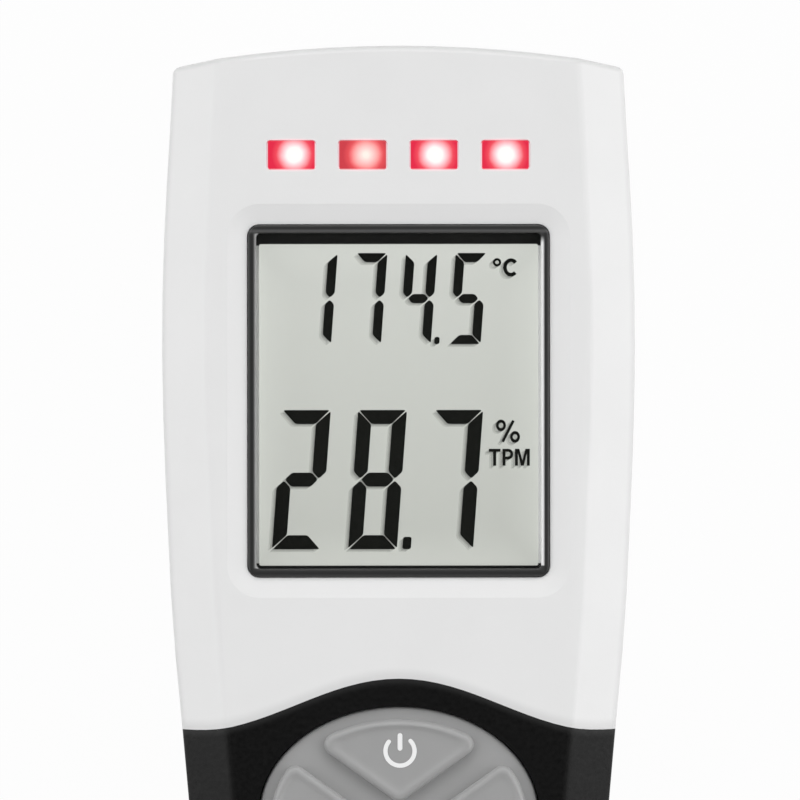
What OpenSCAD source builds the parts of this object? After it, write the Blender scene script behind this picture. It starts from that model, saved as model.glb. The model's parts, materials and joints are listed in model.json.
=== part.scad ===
// Handheld frying oil tester: a two-shell housing with a display head, a soft
// grip with an oval keypad, and a steel probe with a sensor at its tip.
// It lies on its back: +Z is the display side, +Y the head, -Y the probe tip.
// Places along the length are given as s, the distance from the head end.

/* [Housing] */
// Length of the housing, from the head end to the nose
body_len = 184; // [178:1:200]
// Thickness of the housing, from back to front
body_t = 27; // [26.5:0.5:30]
// Width of the head at its far end
head_end_w = 51.8; // [50:0.2:54]
// Greatest width of the head
head_w = 54.4; // [52:0.2:58]
// Place of the greatest width
head_wide_s = 32; // [26:1:40]
// Width where the head turns into the grip
neck_w = 49.8; // [47:0.2:52]
// Width of the grip under the keypad
hand_w = 42; // [41:0.5:44]
// Width of the grip at the nose
nose_w = 33; // [32:0.5:35]
// Height of the nose, which is thinner than the housing
nose_t = 22; // [20:0.5:24]
// Wall of the two shells
wall = 2; // [1.8:0.1:2.4]
// Thickness of the soft grip skin
skin = 1.3; // [1:0.1:1.6]
// Width of the sloping facet along each side of the front
facet_w = 5.2; // [4:0.2:7]
// Drop of that facet
facet_drop = 3; // [2:0.2:4]
// Rounding of that facet's two edges
facet_round = 0.45; // [0.2:0.05:1.5]
// Rounding of the back edges
back_round = 6; // [5:0.5:6.5]
// Rounding of the head end
end_round = 0.7; // [0.6:0.1:1.6]
// Bulge of the head end, seen from the front
end_crown = 2.3; // [1:0.1:3]

/* [Grip line] */
// Place of the grip's edge at the two sides
arch_side_s = 78.3; // [77:0.1:80]
// Rise of the arch around the keypad
arch_rise = 6; // [4:0.1:6.5]
// Half the width of the arch
arch_half_w = 23.5; // [20:0.5:26]

/* [Display] */
// Width of the bezel
bezel_w = 34.4; // [33:0.2:36]
// Length of the bezel
bezel_len = 40.2; // [39:0.2:42]
// Place of the bezel's middle
bezel_s = 40.6; // [40:0.2:42]
// Width of the bezel's lip
bezel_lip = 0.9; // [0.7:0.1:1.2]
// Rounding of the bezel's corners
bezel_round = 1.4; // [1.2:0.1:2.5]
// How far the bezel stands above the dish around it
bezel_proud = 0.3; // [0.1:0.1:0.5]
// Depth of the shallow dish around the bezel
dish_depth = 0.5; // [0.3:0.1:0.8]
// Width of the dish's slope
dish_slope = 2.4; // [1.5:0.1:2.6]
// Thickness of the clear lens
lens_t = 1.3; // [1:0.1:1.6]
// Thickness of the liquid crystal cell
cell_t = 2.6; // [2:0.2:3]
// Dark band of the mask above the digits
mask_band = 1.2; // [0.8:0.1:1.6]
// Dark line of the mask at the sides and below
mask_line = 0.3; // [0.2:0.05:0.4]

/* [Signal lamps] */
// Width of a lamp window
lamp_w = 5.5; // [4.5:0.1:6]
// Height of a lamp window
lamp_h = 3.2; // [2.6:0.1:3.8]
// Distance from one lamp to the next
lamp_pitch = 8.15; // [7.6:0.05:8.6]
// Place of the row of lamps
lamp_s = 12.5; // [12:0.1:13]
// Number of lamps
lamp_count = 4; // [4:1:4]

/* [Keypad] */
// Width of the oval keypad
pad_w = 32; // [30:0.2:33]
// Length of the oval keypad
pad_len = 24.7; // [24:0.1:25.5]
// Place of the keypad's middle
pad_s = 87.9; // [87.6:0.1:88.4]
// How far the keypad's field lies below the front
pad_sunk = 0.4; // [0.2:0.1:0.6]
// How far the keys stand above the field
key_rise = 1.1; // [0.9:0.1:1.3]
// Travel of a key
key_travel = 0.8; // [0.5:0.1:1]
// Width of the field between two keys
key_gap = 3.1; // [2.6:0.1:3.2]
// Border of the field around the keys
key_border = 1.4; // [1.3:0.1:2]
// Angle of the gaps between the keys
key_angle = 35.5; // [33:0.5:38]
// How far the gaps cross below the keypad's middle
key_drop = 0.6; // [0:0.1:0.8]
// Rounding of the keys' corners
key_round = 1.3; // [0.8:0.1:1.4]
// Radius of the contact pill under a key
pill_r = 1.6; // [1.2:0.1:1.8]

/* [Circuit board] */
// Width of the circuit board
board_w = 35; // [34:0.5:36]
// Thickness of the circuit board
board_t = 1.6; // [1.2:0.2:2]
// Place of the board's upper end
board_s0 = 5.4; // [5:0.1:6]
// Place of the board's lower end
board_s1 = 108.6; // [108:0.1:109]
// Depth of the cell and its backlight above the board
backlight_t = 2.9; // [2.4:0.1:3.2]

/* [Batteries] */
// Radius of a cell
cell_r = 5.25; // [5:0.05:5.3]
// Length of a cell, with its cap
cell_len = 44.5; // [43.5:0.1:45]
// Distance from the battery box to the end of the nose
box_nose = 24; // [23.5:0.1:25]
// Wall of the battery box
box_wall = 1.2; // [1:0.1:1.4]
// Room for the springs and plates at the ends
contact_room = 3.6; // [3:0.1:4.2]
// Largest angle to which the battery cover swings
cover_open = 70; // [40:5:80]

/* [Probe] */
// Length of the probe, from the collar to the tip
probe_len = 150; // [120:1:180]
// Outside radius of the probe tube
tube_r = 4; // [3.5:0.1:4.5]
// Wall of the probe tube
tube_wall = 0.5; // [0.4:0.1:0.8]
// Length of the collar in front of the nose
collar_len = 15; // [12:0.5:18]
// Radius of the collar at the nose
collar_r = 9.6; // [9:0.1:10]
// Radius of the collar at its small end
collar_tip_r = 5.8; // [5.4:0.1:6.6]
// Length of the sensor guard
guard_len = 38; // [34:0.5:42]
// Width of the sensor guard
guard_w = 14; // [13:0.2:15]
// Thickness of the sensor guard
guard_t = 10.4; // [10:0.2:11]
// Width of the window in the guard
window_w = 9.2; // [8.8:0.1:9.6]
// Length of the window in the guard
window_len = 29; // [26:0.5:31]
// Thickness of the ceramic sensor plate
plate_t = 0.8; // [0.6:0.1:1]
// Width of the ceramic sensor plate
plate_w = 7.6; // [7:0.1:8]

/* [Fasteners] */
// Radius of the housing screws' shanks
screw_r = 1.25; // [1:0.05:1.4]
// Radius of the housing screws' heads
screw_head_r = 2.4; // [2.1:0.1:2.6]
// Radius of the screw bosses
boss_r = 2.9; // [2.6:0.1:3]

/* [Clearances] */
// Gap around a piece that slips into an opening
slip = 0.1; // [0.05:0.05:0.15]
// Gap around the moving keys
key_slip = 0.2; // [0.15:0.05:0.25]
// Gap around the battery cover
cover_slip = 0.3; // [0.2:0.05:0.4]

/* [Hidden] */
$fn = 48;
total_len = body_len + collar_len + probe_len;
head_y = total_len / 2;
front_z = body_t;
// The shells part on the probe's axis
axis_z = 13;
nose_top = axis_z + nose_t / 2;
nose_back = axis_z - nose_t / 2;
// The back stays flat down to here, and then rises to the nose
flat_back_s = body_len - 17;
thin_front_s = 104;
hand_s = 112;
// Width of the housing along its length: [s, half width]
outline = [
  [0, head_end_w / 2],
  [head_wide_s, head_w / 2],
  [63, head_w / 2 - 1],
  [arch_side_s, neck_w / 2],
  [hand_s, hand_w / 2 + 0.9],
  [140, hand_w / 2 - 1.8],
  [body_len, nose_w / 2]
];
crown_fade = 24;
// The walls step in for the skin from skin_s on, over the length skin_fade
skin_s = arch_side_s - 10;
skin_fade = 4;
nose_round = 3.5;
ring_step = 7;
head_wall_z = front_z - wall;
grip_wall_z = front_z - skin - wall;

// Stack under the display
dish_z = front_z - dish_depth;
bezel_z = dish_z + bezel_proud;
flange_t = 0.8;
flange_w = 1.2;
cell_z = head_wall_z - flange_t;
lens_z = bezel_z - 0.3;
mask_t = lens_z - lens_t - cell_z;
backlight_z = cell_z - cell_t - backlight_t;
board_z = backlight_z;
view_w = bezel_w - 2 * bezel_lip;
view_len = bezel_len - 2 * bezel_lip;
cell_w = bezel_w + 0.4;
cell_cover_len = bezel_len + 2 * flange_w + 1;
strip_w = 2;

// Keypad levels
field_z = front_z - pad_sunk;
key_z = field_z + key_rise;
mat_flange = 1;
mat_flange_t = 1.2;
mat_z = grip_wall_z - 0.05 - mat_flange_t;
key_skirt = 0.7;
key_skirt_t = 0.8;
pad_contact_t = 0.1;
pill_gap = 0.1;

// Battery box and cover
battery_gap = 0.6;
battery_x = cell_r + battery_gap / 2;
inner_floor = skin + wall;
battery_z = inner_floor + 0.3 + cell_r;
box_w = 4 * cell_r + battery_gap + 0.8;
box_len = cell_len + contact_room;
box_s1 = body_len - box_nose;
box_s0 = box_s1 - box_len;
box_top = battery_z + cell_r + 0.3;
cover_lap = 0.6;
cover_w = box_w + 2 * cover_lap;
cover_len = box_len + 2 * cover_lap;
cover_z = 0.3;
cover_t = 1.4;
cover_rim = 1.1;
cover_seal_t = 0.4;
cover_top = inner_floor - cover_seal_t - 0.05;
hinge_s = box_s0 - cover_lap;
tongue_w = 3;
tongue_t = 0.8;
tongue_reach = 1.4;
tongue_neck = 1;
tongue_x = box_w / 2 - 1.8;

// Probe
wall_end_s = body_len - skin - wall;
tube_end_s = wall_end_s - 8;
collar_neck_r = tube_r + 2.2;
collar_flange_r = collar_neck_r + 1.4;
collar_flange_t = 2;
nose_s = body_len;
collar_s = body_len + collar_len;
tip_s = total_len;
socket_len = 11;
socket_r = tube_r + 1;
guard_s = tip_s - guard_len;
socket_s = guard_s - socket_len;
window_s = guard_s + 5 + window_len / 2;
// Length over which the plate is let into the guard, to where the window is at its full width
root_len = 5 + window_w / 2;
plate_seal_s = guard_s + root_len + 0.8;
seal_r = 0.8;

seal_t = 0.9;
seal_w = 0.8;
seal_inset = 0.6;
keys = ["up", "left", "right", "down"];

// Sensor: the two combs of tracks on the plate, and the small sensor between them and the seal
track_t = 0.08;
track_w = 0.5;
finger_w = 0.4;
finger_pitch = 1.6;
finger_count = 9;
track_edge = 0.75;
finger_gap = 0.95;

// Screws: [s, overlap of the boss with the side wall]
screw_rows = [[10, 0.6], [70, 0.6], [body_len - 15, 0.6]];
board_screw_r = 1;
board_boss_r = 2.1;
board_head_r = 1.9;
board_head_t = 1.2;
board_screw_reach = 3;
screw_head_t = 1.6;
screw_reach = 5.4;
blind = 0.6;
cross_w = 0.6;
column_gap = 0.2;

// Pieces on the board, [x, s] where one isn't in the middle
processor_w = 10;
processor_s = 44;
memory_place = [9, 60];
buzzer_place = [-8, 73];
buzzer_r = 5;
buzzer_t = 4.5;
chip_t = 1.4;
led_w = 3.2;
led_len = 2.6;
led_t = 1.6;
socket_w = 9;
jack_len = 5;
plug_w = 6.6;
plug_t = 2.2;
plug_len = 5.4;
plug_z = 1.7;
plug_s = board_s1 - 4;

// The cable rises from the probe's axis, here as [distance from the nose, height above the axis]
cable_r = 1.3;
cable_z = board_z + plug_z;
cable_bend = [[6, 0], [12, 0], [15, 0.3], [18, 1.6], [21, 3.7], [24, 5.3], [28, 6.3], [34, 6.8]];
// Its route to the plug: [s, z]
cable_s1 = plug_s + plug_len;
cable_s0 = body_len - cable_bend[7][0];
cable_route = concat([for (p = cable_bend) [body_len - p[0], axis_z + p[1]]],
  [for (t = [1 : 4]) [cable_s0 + (cable_s1 - cable_s0) * t / 4, cable_z]]);

// Ends of the batteries and what they meet
plate_room = 0.5;
cap_len = 0.8;
cap_r = 1.9;
plate_side = 8;
spring_wire = 0.35;
spring_turns = 2.5;
spring_wide = 3.6;
spring_narrow = 2;
groove_r = 4;
groove_w = 9;
head_seat_z = 5.2;
boss_top_drop = facet_drop + 0.8;
boss_foot_z = 3.6;
boss_gap = 0.3;
// Screws of the board: [s, how far in from the board's edge]
board_rows = [[7.8, 0], [bezel_s + cell_cover_len / 2 + board_boss_r + boss_gap, 0],
  [board_s1 - 3.4, 1.6]];

// Functions of the housing's surface
function place(s) = head_y - s;
function ease(t) = t <= 0 ? 0 : t >= 1 ? 1 : t * t * (3 - 2 * t);
function span_of(s, i = 0) = i >= len(outline) - 2 || s < outline[i + 1][0] ? i : span_of(s, i + 1);
function slope_at(i) =
  let (a = max(i - 1, 0), b = min(i + 1, len(outline) - 1))
  (outline[b][1] - outline[a][1]) / (outline[b][0] - outline[a][0]);
function half_width(s) =
  let (i = span_of(s), a = outline[i], b = outline[i + 1], h = b[0] - a[0], t = (s - a[0]) / h)
  a[1] * (1 + 2 * t) * (1 - t) * (1 - t) + slope_at(i) * h * t * (1 - t) * (1 - t)
  + b[1] * t * t * (3 - 2 * t) + slope_at(i + 1) * h * t * t * (t - 1);
function top_at(s) = front_z - (front_z - nose_top) * ease((s - thin_front_s) / (body_len - thin_front_s));
function back_at(s) = nose_back * ease((s - flat_back_s) / (body_len - flat_back_s));
function skin_at(s) = skin * ease((s - skin_s) / skin_fade);

// A corner q between p and r, softened over the distance d
function soft(p, q, r, d, n) =
  let (a = q + (p - q) / norm(p - q) * d, b = q + (r - q) / norm(r - q) * d)
  [for (k = [0 : n]) let (t = k / n) a * (1 - t) * (1 - t) + q * 2 * t * (1 - t) + b * t * t];

function between(p, q, n) = [for (k = [1 : n]) p + (q - p) * k / (n + 1)];

// The right half of a cross-section, from the middle of the back to the middle of the front
function half_section(w, low, high, inset) =
  let (
    tilt = atan(facet_drop / facet_w), f = max(facet_w - inset * (1 - tan(tilt / 2)), 1),
    drop = f * facet_drop / facet_w, bend = min(facet_round, f / 3), turn = max(back_round - inset, 2),
    a = [0, low], b = [w, low], c = [w, high - drop], d = [w - f, high], e = [0, high]
  )
  concat([a], between(a, b - [turn, 0], 3), soft(a, b, c, turn, 5), soft(b, c, d, bend, 3),
    soft(c, d, e, bend, 3), between(d - [bend, 0], e, 4), [e]);

// A closed ring of points at s, set in by d, and scaled towards its middle by k
function ring(s, d, k = 1) =
  let (
    w = half_width(s) - d, low = back_at(s) + d, high = top_at(s) - d,
    half = half_section(w, low, high, d),
    n = len(half), mid = (low + high) / 2,
    full = concat(half, [for (i = [n - 2 : -1 : 1]) [-half[i][0], half[i][1]]])
  )
  [for (p = full)
    let (x = p[0] * k)
    [x, place(s) - end_crown * pow(x / (head_end_w / 2), 2) * (1 - ease(s / crown_fade)),
      mid + (p[1] - mid) * k]];

// A smooth solid between two places on the length, inside the housing's surface.
// inset is a list: [at the head, in the grip].
module housing_solid(inset, s0, s1, round0, round1) {
  turn = [0, 30, 60, 90];
  steps = ceil((s1 - s0 - round0 - round1) / ring_step);
  function inset_at(s) = inset[0] + (inset[1] - inset[0]) * ease((s - skin_s) / skin_fade);
  rows = concat(
    [for (a = turn) [s0 + round0 * (1 - cos(a)), round0 * (1 - sin(a))]],
    [for (i = [1 : steps - 1]) [s0 + round0 + (s1 - s0 - round0 - round1) * i / steps, 0]],
    [for (a = turn) [s1 - round1 * (1 - cos(90 - a)), round1 * (1 - sin(90 - a))]]
  );
  first = rows[0];
  last = rows[len(rows) - 1];
  rings = concat(
    [for (k = [0.35, 0.7]) ring(first[0], inset_at(first[0]) + first[1], k)],
    [for (r = rows) ring(r[0], inset_at(r[0]) + r[1])],
    [for (k = [0.5]) ring(last[0], inset_at(last[0]) + last[1], k)]
  );
  m = len(rings[0]);
  n = len(rings);
  mid = (back_at(first[0]) + top_at(first[0])) / 2;
  points = concat([[0, place(first[0]), mid]], [for (r = rings) each r],
    [[0, place(last[0]), (back_at(last[0]) + top_at(last[0])) / 2]]);
  faces = concat(
    [for (j = [0 : m - 1]) [0, 1 + j, 1 + (j + 1) % m]],
    [for (i = [0 : n - 2]) for (j = [0 : m - 1])
      let (a = 1 + i * m + j, b = 1 + i * m + (j + 1) % m) each [[a, a + m, b + m], [a, b + m, b]]],
    [for (j = [0 : m - 1]) [1 + n * m, 1 + (n - 1) * m + (j + 1) % m, 1 + (n - 1) * m + j]]
  );
  polyhedron(points, faces, convexity = 6);
}

module outer_solid() housing_solid([0, 0], 0, body_len, end_round, nose_round);
module under_skin() housing_solid([skin, skin], arch_side_s - 18, body_len - skin, 0.01, nose_round - skin);
module cavity() housing_solid([wall, skin + wall], wall, wall_end_s, 0.5, 1);

// Everything past the line where the grip begins, drawn around a height range
module grip_zone(z0, z1) {
  half = head_w;
  arch = [for (i = [-16 : 16]) let (x = arch_half_w * i / 16)
    [x, place(arch_side_s - arch_rise * (1 + cos(180 * x / arch_half_w)) / 2)]];
  translate([0, 0, z0]) linear_extrude(z1 - z0)
    polygon(concat([[-half, place(arch_side_s)]], arch, [[half, place(arch_side_s)],
      [half, place(body_len + 5)], [-half, place(body_len + 5)]]));
}
module front_half() translate([-head_w, place(body_len + 5), axis_z])
  cube([2 * head_w, body_len + 10, 2 * body_t]);
module back_half() translate([-head_w, place(body_len + 5), axis_z - 2 * body_t])
  cube([2 * head_w, body_len + 10, 2 * body_t]);

// Small shapes used by several pieces
module slab(w, l, z0, z1, s, r = 0.5) {
  translate([0, place(s), z0]) linear_extrude(z1 - z0) rounded(w, l, r);
}
module rounded(w, l, r) {
  square([w - 2 * r, l], center = true);
  square([w, l - 2 * r], center = true);
  for (x = [-1, 1], y = [-1, 1]) translate([x * (w / 2 - r), y * (l / 2 - r)]) circle(r);
}
module oval(w, l) polygon([for (i = [0 : 71]) [w / 2 * cos(i * 5), l / 2 * sin(i * 5)]]);
module post(x, s, z0, z1, r) translate([x, place(s), z0]) cylinder(h = z1 - z0, r = r);
module along(s0, s1, r, r2 = undef) {
  translate([0, place(s0), axis_z]) rotate([90, 0, 0])
    cylinder(h = s1 - s0, r1 = r, r2 = is_undef(r2) ? r : r2);
}
function screw_x(row) = half_width(row[0]) - skin_at(row[0]) - wall - boss_r + row[1];
function board_screw_x(row) = board_w / 2 - board_boss_r - row[1];

// The two shells, the grip skins, the seal and the screws
module front_shell() {
  color("whitesmoke") difference() {
    union() {
      difference() {
        intersection() { outer_solid(); front_half(); }
        difference() { grip_zone(-1, front_z + 1); under_skin(); }
        cavity();
      }
      for (row = screw_rows, side = [-1, 1])
        post(side * screw_x(row), row[0], axis_z, top_at(row[0]) - skin_at(row[0]) - boss_top_drop, boss_r);
      for (row = board_rows, side = [-1, 1])
        post(side * board_screw_x(row), row[0], board_z, top_at(row[0]) - skin_at(row[0]) - 0.8 * wall,
          board_boss_r);
    }
    display_cut();
    lamp_cuts();
    pad_cut(slip);
    for (row = screw_rows, side = [-1, 1])
      post(side * screw_x(row), row[0], axis_z - 1, axis_z + screw_reach + blind, screw_r);
    for (row = board_rows, side = [-1, 1])
      post(side * board_screw_x(row), row[0], board_z - 1, board_z + board_screw_reach + blind,
        board_screw_r);
    collar_cut();
  }
}
module display_cut() {
  slab(bezel_w + 2 * slip, bezel_len + 2 * slip, cell_z - 2, front_z + 1, bezel_s, bezel_round);
  // Pocket for the flange and for the cell and board under it
  slab(bezel_w + 2 * flange_w + 2 * slip, cell_cover_len + 2 * slip, board_z - board_t - slip, head_wall_z,
    bezel_s, 0.5);
  // The dish slopes down to the bezel
  hull() {
    slab(bezel_w + 2 * slip, bezel_len + 2 * slip, dish_z, dish_z + 0.01, bezel_s, bezel_round);
    slab(bezel_w + 2 * dish_slope, bezel_len + 2 * dish_slope, front_z, front_z + 0.5, bezel_s,
      bezel_round + dish_slope);
  }
}
module lamp_cuts() {
  for (i = [0 : lamp_count - 1])
    translate([lamp_x(i), 0, 0])
      slab(lamp_w + 2 * slip, lamp_h + 2 * slip, head_wall_z - 1, front_z + 1, lamp_s, 0.5);
}
function lamp_x(i) = (i - (lamp_count - 1) / 2) * lamp_pitch;
module pad_cut(gap) {
  translate([0, place(pad_s), mat_z - 1]) linear_extrude(20) oval(pad_w + 2 * gap, pad_len + 2 * gap);
}
module collar_cut() {
  along(wall_end_s - collar_flange_t - 1, wall_end_s, collar_flange_r);
  along(wall_end_s - 1, body_len + 1, collar_neck_r);
}

module back_shell() {
  color("whitesmoke") difference() {
    union() {
      difference() {
        intersection() { outer_solid(); back_half(); }
        difference() { grip_zone(-1, front_z + 1); under_skin(); }
        cavity();
      }
      for (row = screw_rows, side = [-1, 1])
        post(side * screw_x(row), row[0], back_at(row[0]) + skin_at(row[0]) + boss_foot_z - skin, axis_z,
          boss_r);
    }
    for (row = screw_rows, side = [-1, 1]) {
      post(side * screw_x(row), row[0], -1, axis_z + 1, screw_r + column_gap);
      post(side * screw_x(row), row[0], -1, back_at(row[0]) + head_seat_z, screw_head_r + column_gap);
    }
    seal_ring();
    cover_cut();
    collar_cut();
  }
}
module front_grip() {
  color("#1c1c1c") difference() {
    intersection() { outer_solid(); front_half(); grip_zone(-1, front_z + 1); }
    under_skin();
    pad_cut(slip);
    collar_cut();
  }
}
module back_grip() {
  color("#1c1c1c") difference() {
    intersection() { outer_solid(); back_half(); grip_zone(-1, front_z + 1); }
    under_skin();
    cover_cut();
    collar_cut();
    for (row = screw_rows, side = [-1, 1])
      post(side * screw_x(row), row[0], -1, back_at(row[0]) + head_seat_z, screw_head_r + column_gap);
  }
}
// The seal lies in a groove around the shells' joint, open at the collar
module seal_band(inset) {
  s1 = body_len - skin - nose_round;
  rows = concat([for (a = [0, 30, 60, 90]) inset + end_round * (1 - cos(a))],
    [for (i = [1 : 26]) inset + end_round + (s1 - inset - end_round) * i / 26]);
  n = len(rows);
  function edge(s) = half_width(s) - skin_at(s) - inset - corner(s);
  function corner(s) = s > inset + end_round ? 0
    : end_round * (1 - sin(acos(max(min(1 - (s - inset) / end_round, 1), 0))));
  head = [for (i = [-6 : 6]) bulged(edge(rows[0]) * i / 7, rows[0])];
  right = [for (s = rows) bulged(edge(s), s)];
  left = [for (i = [n - 1 : -1 : 0]) bulged(-edge(rows[i]), rows[i])];
  polygon(concat(head, right, left));
}
function bulged(x, s) =
  [x, place(s) - end_crown * pow(x / (head_end_w / 2), 2) * (1 - ease(s / crown_fade))];
module seal_ring() {
  translate([0, 0, axis_z - seal_t]) linear_extrude(seal_t) difference() {
    seal_band(seal_inset);
    seal_band(seal_inset + seal_w);
    // The band stays open at the nose, on both sides of the collar
    translate([-head_w, place(body_len - skin - nose_round + 0.1) - 2]) square([2 * head_w, 2]);
  }
}
module shell_seal() color("dimgray") seal_ring();

// The crossed slots in a screw's head
module cross(x, s, z, t, r) {
  for (turn = [0, 90]) translate([x, place(s), z]) rotate([0, 0, turn])
    cube([1.1 * r, cross_w, t], center = true);
}
module housing_screws() {
  color("silver") for (row = screw_rows, side = [-1, 1]) {
    seat = back_at(row[0]) + head_seat_z;
    difference() {
      union() {
        post(side * screw_x(row), row[0], seat - screw_head_t, seat, screw_head_r);
        post(side * screw_x(row), row[0], seat, axis_z + screw_reach, screw_r);
      }
      cross(side * screw_x(row), row[0], seat - screw_head_t, screw_head_t, screw_head_r);
    }
  }
}

// The display, from the bezel down to the board
module display_bezel() {
  color("#2b2d2f") difference() {
    union() {
      slab(bezel_w, bezel_len, cell_z, bezel_z, bezel_s, bezel_round - slip);
      slab(bezel_w + 2 * flange_w, bezel_len + 2 * flange_w, cell_z, head_wall_z, bezel_s, bezel_round);
    }
    slab(view_w, view_len, cell_z - 1, bezel_z + 1, bezel_s, bezel_round - bezel_lip);
  }
}
module display_lens() {
  color([0.9, 0.95, 0.95, 0.35])
    slab(view_w, view_len, lens_z - lens_t, lens_z, bezel_s, bezel_round - bezel_lip);
}
module display_mask() {
  color("#101010") difference() {
    slab(view_w, view_len, cell_z, cell_z + mask_t, bezel_s, bezel_round - bezel_lip);
    slab(view_w - 2 * mask_line, view_len - mask_band - mask_line, cell_z - 1, front_z,
      bezel_s + (mask_band - mask_line) / 2, 0.2);
  }
}
module display_cell() {
  color([0.78, 0.8, 0.76]) slab(cell_w, cell_cover_len, cell_z - cell_t, cell_z, bezel_s, 0.4);
}
module display_backlight() {
  color("honeydew")
    slab(cell_w - 1, cell_cover_len - 2 * strip_w - 1.6, board_z, cell_z - cell_t, bezel_s, 0.4);
}
module contact_strips() {
  color("hotpink") for (side = [-1, 1])
    slab(cell_w - 2, strip_w, board_z, cell_z - cell_t,
      bezel_s + side * (cell_cover_len - strip_w) / 2, 0.3);
}

// The circuit board and what it carries
module circuit_board() {
  mid = (board_s0 + board_s1) / 2;
  color("darkgreen") difference() {
    slab(board_w, board_s1 - board_s0, board_z - board_t, board_z, mid, 1.5);
    for (row = board_rows, side = [-1, 1])
      post(side * board_screw_x(row), row[0], board_z - board_t - 1, board_z + 1, board_screw_r + 0.15);
    // Room for the bosses of the housing screws
    for (row = screw_rows, side = [-1, 1])
      post(side * screw_x(row), row[0], board_z - board_t - 1, board_z + 1, boss_r + boss_gap);
  }
}
module board_screws() {
  color("gold") for (row = board_rows, side = [-1, 1]) {
    x = side * board_screw_x(row);
    difference() {
      union() {
        post(x, row[0], board_z - board_t - board_head_t, board_z - board_t, board_head_r);
        post(x, row[0], board_z - board_t, board_z + board_screw_reach, board_screw_r);
      }
      cross(x, row[0], board_z - board_t - board_head_t, board_head_t, board_head_r);
    }
  }
}
module lamp_window(i) {
  color("red") translate([lamp_x(i), 0, 0]) {
    slab(lamp_w, lamp_h, head_wall_z - 0.2, front_z - 0.05, lamp_s, 0.4);
    slab(lamp_w + 1, lamp_h + 1, head_wall_z - 1, head_wall_z, lamp_s, 0.5);
    slab(led_w - 0.6, led_len - 0.4, board_z + led_t, head_wall_z - 1, lamp_s, 0.3);
  }
}
module signal_lamps() {
  color("ivory") for (i = [0 : lamp_count - 1])
    translate([lamp_x(i), 0, 0]) slab(led_w, led_len, board_z, board_z + led_t, lamp_s, 0.3);
}
module processor_chip() {
  color("#222222") slab(processor_w, processor_w, board_z - board_t - chip_t, board_z - board_t,
    processor_s, 0.4);
}
module memory_chip() {
  color("#222222") translate([memory_place[0], 0, 0])
    slab(processor_w / 2, 6, board_z - board_t - chip_t, board_z - board_t, memory_place[1], 0.3);
}
module buzzer() {
  color("#111111") difference() {
    post(buzzer_place[0], buzzer_place[1], board_z - board_t - buzzer_t, board_z - board_t, buzzer_r);
    // Sound hole in its face
    post(buzzer_place[0], buzzer_place[1], board_z - board_t - buzzer_t - 1,
      board_z - board_t - buzzer_t / 2, buzzer_r / 5);
  }
}
module key_contacts() {
  color("gold") for (k = keys) {
    c = key_centre(k);
    post(c[0], pad_s - c[1], board_z, board_z + pad_contact_t, pill_r + 0.4);
  }
}
module cable_socket() {
  color("white") difference() {
    slab(socket_w, jack_len, board_z, board_z + 2 * plug_z, plug_s + 1.3, 0.4);
    slab(plug_w, jack_len, board_z + plug_z - plug_t / 2, board_z + plug_z + plug_t / 2,
      plug_s + jack_len / 2, 0.2);
  }
}

// The keys are wedges of the oval, each named by its direction
function key_turn(k) = k == "up" ? 90 : k == "left" ? 180 : k == "right" ? 0 : 270;
function key_half_angle(k) = k == "up" || k == "down" ? 90 - key_angle : key_angle;
function key_centre(k) =
  let (t = key_turn(k), up = k == "up" || k == "down", r = up ? 0.29 * pad_len : 0.31 * pad_w)
  [r * cos(t), r * sin(t)];
module key_outline(k) {
  tip = key_gap / 2 / sin(key_half_angle(k));
  far = 40;
  offset(r = key_round, $fn = 32) offset(delta = -key_round) intersection() {
    oval(pad_w - 2 * key_border, pad_len - 2 * key_border);
    translate([0, -key_drop]) rotate([0, 0, key_turn(k)]) translate([tip, 0])
      polygon([[0, 0], [far, -far * tan(key_half_angle(k))], [far, far * tan(key_half_angle(k))]]);
  }
}
module keypad_mat() {
  color("#9a9a9a") translate([0, place(pad_s), 0]) difference() {
    union() {
      translate([0, 0, mat_z]) linear_extrude(field_z - mat_z) oval(pad_w, pad_len);
      translate([0, 0, mat_z]) linear_extrude(mat_flange_t)
        oval(pad_w + 2 * mat_flange, pad_len + 2 * mat_flange);
    }
    for (k = keys) translate([0, 0, mat_z - 1]) linear_extrude(10) offset(delta = key_slip) key_outline(k);
  }
}
module key(k) {
  c = key_centre(k);
  color("#a4a4a4") translate([0, place(pad_s), 0]) {
    translate([0, 0, mat_z - key_slip - key_skirt_t]) linear_extrude(key_z - mat_z + key_slip + key_skirt_t)
      key_outline(k);
    translate([0, 0, mat_z - key_slip - key_skirt_t]) linear_extrude(key_skirt_t)
      offset(delta = key_skirt) key_outline(k);
    translate([c[0], c[1], board_z + pad_contact_t + key_travel + pill_gap])
      cylinder(h = mat_z - board_z - pad_contact_t - key_travel - pill_gap, r = pill_r);
  }
}

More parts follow.
